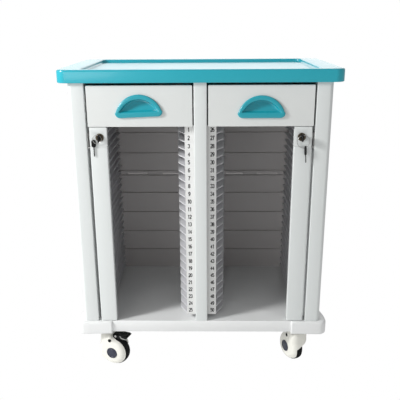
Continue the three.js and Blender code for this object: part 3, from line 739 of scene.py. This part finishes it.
def spare_key(side_name, radius, lean, turn, tilt, set_back, bow_low):
    """A wire ring round the neck of the key in the lock, with a second key hanging on it."""
    node = f"{side_name}_spare_key"
    pivot = Vector(JOINTS[f"{side_name}_spare_key_swing"]["pos_m"])
    wire, neck = 0.9 * MM, 3.3 * MM
    lean = math.radians(lean)
    away = Vector((math.sin(lean), 0, -math.cos(lean)))
    ring_at = pivot + away * (radius - neck - wire)
    piece(node + "_ring", moved(torus(radius, wire), at(*ring_at) @ TO_FRONT), ZINC_AND_PAINTED_HIGHLIGHT, node)
    key_at = ring_at + away * radius + Vector((0, set_back, 0))
    turned = Matrix.Rotation(math.radians(tilt), 4, "Y") @ Matrix.Rotation(math.radians(turn), 4, "Z")
    head, blade = key_shape(bow_low)
    piece(node + "_bow", moved(head, at(*key_at) @ turned), BLACK, node, bevel=0.5 * MM, replaces=())
    piece(node + "_blade", moved(blade, at(*key_at) @ turned), BLACK, node, replaces=())


# ---------- castors: drawn with the swivel axis at x = 0 and the wheel trailing towards +x ----------

def castor_axes(name):
    """(matrix that places a castor, distance of the axle behind the swivel axis, axle height)"""
    swivel = Vector(JOINTS[f"{name}_castor_swivel"]["pos_m"])
    axle = Vector(JOINTS[f"{name}_wheel_spin"]["pos_m"])
    trail = axle - swivel
    heading = math.atan2(trail.y, trail.x)
    stand = at(swivel.x, swivel.y, 0) @ Matrix.Rotation(heading, 4, "Z")
    return stand, math.hypot(trail.x, trail.y), axle.z


def cheek_side(name):
    """The side of the cheek along the castor's own Y: the castors are handed."""
    return -1 if "left" in name else 1


def castor_housing(name):
    """A hood over the top of the wheel that runs into one round cheek with the axle in it."""
    stand, trail, axle = castor_axes(name)
    node = f"{name}_castor_housing"
    near = cheek_side(name)
    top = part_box(node)[1].z
    hood, cheek = axle + 6 * MM, axle - 3 * MM
    head, shoulder = 15 * MM, 16 * MM
    outline = arc(trail, axle, hood, 190, 150, 12)
    outline += arc(-4 * MM, top - head, head, 165, 90, 8)
    outline += arc(10 * MM, top - shoulder, shoulder, 90, 15, 8)
    outline += arc(trail, axle, cheek, 72, -120, 36)
    for share in [step / 8 for step in range(1, 8)]:
        radius = cheek + (hood - cheek) * (3 - 2 * share) * share * share
        outline.append(polar(trail, axle, radius, 240 - 50 * share))

    # For each half: its width, how much of it stays flat, how far it draws in, and towards where.
    cheek_half = 25 * MM, 5 * MM, 0.36, Vector((trail * 0.8, axle + 8 * MM))
    open_half = 34 * MM, 18 * MM, 0.45, Vector((trail * 0.5, axle + 40 * MM))
    rings = []
    layers = 12
    for layer in range(-layers, layers + 1):
        turn = math.sin(math.pi / 2 * layer / layers)
        wide, flat, shrink, centre = cheek_half if turn > 0 else open_half
        across = wide * turn
        share = max(0, (abs(across) - flat) / (wide - flat))
        scale = 1 - shrink * (1 - math.sqrt(max(0, 1 - share * share)))
        rings.append([(centre.x + (u - centre.x) * scale, near * across, centre.y + (v - centre.y) * scale)
                      for u, v in outline])
    shell = piece(node + "_piece", moved(loft(rings), stand), CREAM, node)

    # The two cuts share no plane, since the solver can fail where they do.
    ends = sorted((-near * 12.5 * MM, near * 17 * MM))
    wheel_room = lathe([(axle + 3 * MM, end) for end in ends], 64)
    carve(shell, moved(wheel_room, stand @ at(trail, 0, axle) @ TO_FRONT))
    brink, slope, far, sole = near * 12 * MM, -near * 18 * MM, -near * 50 * MM, -10 * MM
    open_side = [(brink, sole), (brink, axle + 8 * MM), (slope, axle + 23 * MM), (far, axle + 44 * MM),
                 (far, sole)]
    carve(shell, moved(prism([open_side], "x", trail - 90 * MM, trail + 90 * MM), stand))


def castor_caps(name):
    """The hub cap in the cheek, and a flat black disc near the head that is painted shade for the recess there."""
    stand, trail, axle = castor_axes(name)
    near = cheek_side(name)
    disc = [(19, -1.5), (19, 0.8), (18.2, 1.8), (15.4, 2.1), (14.6, 1.3), (12.8, 1.3), (12, 2.1), (4, 2.4)]
    # Painted shade: a flat black disc stands for the dark recess near the head.
    painted_recess_shade = [(5.6, -2), (5.6, 0.6), (5.2, 0.8), (1, 0.8)]
    for part, profile, steps, u, v, look in (("hub_cap", disc, 40, 0, 0, CAP),
                                             ("painted_recess_shade", painted_recess_shade, 24, -7 * MM, 44.5 * MM, BLACK)):
        seat = stand @ at(trail + u, near * 25 * MM, axle + v) @ facing(near)
        piece(f"{name}_castor_{part}", moved(lathe(in_mm(profile), steps), seat), look,
              f"{name}_castor_housing", replaces=())


def castor_wheel(name):
    """A rubber tyre with a crowned tread, a hub and the axle's end on the open side."""
    stand, trail, axle = castor_axes(name)
    node = f"{name}_castor_wheel"
    near = cheek_side(name)
    seat = stand @ at(trail, -near * 2.3 * MM, axle) @ TO_FRONT
    radius, half = axle, 12.7 * MM
    tread = in_mm([(-14, 1), (-8, 0), (-4, 0.6), (-1.5, 2.6), (-0.4, 6), (0, 9)], radius, -half)
    tyre = lathe(tread + [(r, -h) for r, h in reversed(tread)], 72, closed=True)
    piece(f"{name}_castor_tyre", moved(tyre, seat), TYRE, node)
    disc = in_mm([(6, 13.2), (30, 12)]) + [(radius - 13.5 * MM, 11.2 * MM)]
    hub = lathe([(r, -h) for r, h in disc] + [(r, h) for r, h in reversed(disc)], 48)
    piece(f"{name}_castor_hub", moved(hub, seat), CREAM, node, replaces=())
    end = lathe(in_mm([(12, 0), (12, 1.5), (10.5, 2.2), (3, 2.2)]), 32)
    end = moved(end, stand @ at(trail, -near * 15.2 * MM, axle) @ facing(-near))
    piece(f"{name}_castor_axle_end", end, CAP, node, replaces=())


def castor_stem(name):
    """The swivel head's fixing plate and its ball race."""
    stand = castor_axes(name)[0]
    node = f"{name}_castor_stem"
    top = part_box(node)[1].z
    low = top - 3 * MM
    plate = lathe([(27 * MM, low), (27 * MM, top)], 40)
    race = lathe(in_mm([(14, 112), (17, 118.5), (18, 120), (18, 123), (20, 124)]) + [(20 * MM, low)], 40)
    piece(node + "_piece", moved(merged(plate, race), stand), ZINC_AND_PAINTED_HIGHLIGHT, node, bevel=0.5 * MM)


def brake_pedal(name):
    """A wedge over the open side of the wheel with a ribbed tread, a bolt, and a light zinc strip along its lower
    side that is a painted highlight.
    """
    stand, trail, axle = castor_axes(name)
    node = f"{name}_brake_pedal"
    near = cheek_side(name)
    wedge = in_mm([(2, 55), (2, 66), (50, 66), (56, 62), (54, 59.5), (40, 50), (22, 54.5)], trail, axle)
    body = prism([wedge], "y", -16 * MM, 16 * MM)
    ribs = []
    for k in range(5):
        rib = in_mm([(0, 65.5), (3, 65.5), (2.4, 67), (0.6, 67)], trail + (14 + 8 * k) * MM, axle)
        ribs.append(prism([rib], "y", -13 * MM, 13 * MM))
    piece(node + "_piece", moved(merged(body, *ribs), stand), BLACK, node, bevel=0.8 * MM)
    # Painted highlight: the light zinc strip along the pedal's lower side stands for its edge catching the light.
    rim = in_mm([(27, 65), (29.2, 65), (34.3, 58.2), (50, 56.4), (50, 54.4), (32.8, 56)], trail, axle)
    rim = prism([rim], "y", *sorted((near * 15.5 * MM, near * 16.6 * MM)))
    bolt = lathe(in_mm([(3.8, -2), (3.8, 2), (2.8, 3)]), 20)
    bolt = moved(bolt, at(trail + 12 * MM, near * 15.5 * MM, axle + 61 * MM) @ facing(near))
    piece(node + "_painted_highlight_and_bolt", moved(merged(rim, bolt), stand), ZINC_AND_PAINTED_HIGHLIGHT, node, replaces=())


# ---------- the trolley ----------

FIRST_NUMBER = {"left": 1, "right": 26}
SPARE_KEYS = {
    "left": dict(radius=13 * MM, lean=-58, turn=0, tilt=0, set_back=2.2 * MM, bow_low=-17 * MM),
    "right": dict(radius=18.6 * MM, lean=20, turn=62, tilt=-4, set_back=-3 * MM, bow_low=-22.5 * MM),
}


def build():
    worktop()
    refined("base", BASE, 2.5 * MM)
    centre_column()
    refined("partition", INNER, 0.6 * MM)
    back_panel()
    for side_name, side in SIDES:
        for end_name, end in ENDS:
            column(end_name, end, side_name, side)
            bumper(end_name, end, side_name, side)
        side_panel(side_name, side)
        inner_rack(side_name, side)
        outer_rack(side_name, side)
        number_strip(side_name, side, FIRST_NUMBER[side_name])
        refined(f"{side_name}_drawer_rail", ZINC_AND_PAINTED_HIGHLIGHT, 0.4 * MM)
        drawer_front(side_name)
        refined(f"{side_name}_drawer_box", DRAWER, 0.6 * MM)
        drawer_handle(side_name)
        lock_bar(side_name, side)
        refined(f"{side_name}_lock_block", WHITE, 1.0 * MM)
        refined(f"{side_name}_pivot_bracket", ZINC_AND_PAINTED_HIGHLIGHT, 0.3 * MM)
        lock_barrel(side_name)
        refined(f"{side_name}_lock_plug", BRASS, 0.3 * MM)
        refined(f"{side_name}_lock_cam", ZINC_AND_PAINTED_HIGHLIGHT, 0.3 * MM)
        key_in_lock(side_name)
    for side_name, hang in SPARE_KEYS.items():
        spare_key(side_name, **hang)
    for name in CASTORS:
        castor_housing(name)
        castor_caps(name)
        castor_wheel(name)
        castor_stem(name)
        if f"{name}_brake_pedal" in BODY_OF:
            brake_pedal(name)


# ---------- studio ----------

ROOM_LIGHT = 0.4
PAPER_GLOW = 0.12
LENS, SENSOR = 50.94, 36
EYE = (0.0235, FRONT - 1.6487, 1.1113)
LOOK_DOWN, LOOK_LEFT, ROLL = math.radians(17.681), math.radians(0.902), math.radians(-0.377)


def lamp(name, place, aim, size, power):
    """A round area lamp that the camera doesn't see."""
    light = bpy.data.lights.new(name, "AREA")
    light.shape = "DISK"
    light.size = size
    light.energy = power
    thing = linked(name, light)
    thing.visible_camera = False
    thing.location = place
    thing.rotation_mode = "QUATERNION"
    thing.rotation_quaternion = (Vector(aim) - Vector(place)).to_track_quat("-Z", "Y")


def floor_paper():
    """Pale paper that shows as plain white."""
    bpy.ops.mesh.primitive_plane_add(size=40, location=(0, 0, 0))
    sheet = bpy.context.object
    sheet.name = "floor"
    paper = bpy.data.materials.new("floor_paper")
    paper.use_nodes = True
    nodes, links = paper.node_tree.nodes, paper.node_tree.links
    surface = nodes["Principled BSDF"]
    surface.inputs["Base Color"].default_value = (0.8, 0.8, 0.8, 1)
    surface.inputs["Roughness"].default_value = 0.9
    surface.inputs["Emission Color"].default_value = (1, 1, 1, 1)
    surface.inputs["Emission Strength"].default_value = PAPER_GLOW
    white = nodes.new("ShaderNodeEmission")
    seen = nodes.new("ShaderNodeLightPath")
    mix = nodes.new("ShaderNodeMixShader")
    links.new(seen.outputs["Is Camera Ray"], mix.inputs["Fac"])
    links.new(surface.outputs["BSDF"], mix.inputs[1])
    links.new(white.outputs["Emission"], mix.inputs[2])
    links.new(mix.outputs["Shader"], nodes["Material Output"].inputs["Surface"])
    sheet.data.materials.append(paper)


def surroundings():
    """White surroundings that light the trolley at ROOM_LIGHT and show as plain white."""
    world = bpy.data.worlds.new("studio")
    bpy.context.scene.world = world
    world.use_nodes = True
    nodes, links = world.node_tree.nodes, world.node_tree.links
    around = nodes["Background"]
    around.inputs["Color"].default_value = (1, 1, 1, 1)
    strength = nodes.new("ShaderNodeMapRange")
    strength.inputs["To Min"].default_value = ROOM_LIGHT
    seen = nodes.new("ShaderNodeLightPath")
    links.new(seen.outputs["Is Camera Ray"], strength.inputs["Value"])
    links.new(strength.outputs["Result"], around.inputs["Strength"])


def studio():
    """White paper and surroundings, a small key lamp far out on the left, a fill and a wide wall lamp."""
    floor_paper()
    surroundings()
    lamp("key", place=(-2.0, -1.05, 1.75), aim=(0, -0.1, 0.55), size=0.5, power=48)
    lamp("fill", place=(-1.25, -2.7, 0.95), aim=(0, 0, 0.6), size=1.0, power=8)
    lamp("wall", place=(-0.2, 3.2, 1.5), aim=(0, 0, 0.9), size=3.6, power=42)


def camera():
    """In front, a little right of the middle, a head above the worktop and looking down."""
    lens = bpy.data.cameras.new("camera")
    lens.sensor_width = SENSOR
    lens.lens = LENS
    thing = linked("camera", lens)
    thing.location = EYE
    thing.rotation_mode = "XYZ"
    level = Matrix.Rotation(LOOK_LEFT, 4, "Z") @ Matrix.Rotation(math.pi / 2 - LOOK_DOWN, 4, "X")
    thing.rotation_euler = (level @ Matrix.Rotation(ROLL, 4, "Z")).to_euler("XYZ")
    bpy.context.scene.camera = thing
    bpy.context.scene.view_settings.view_transform = "Standard"


build()
studio()
camera()
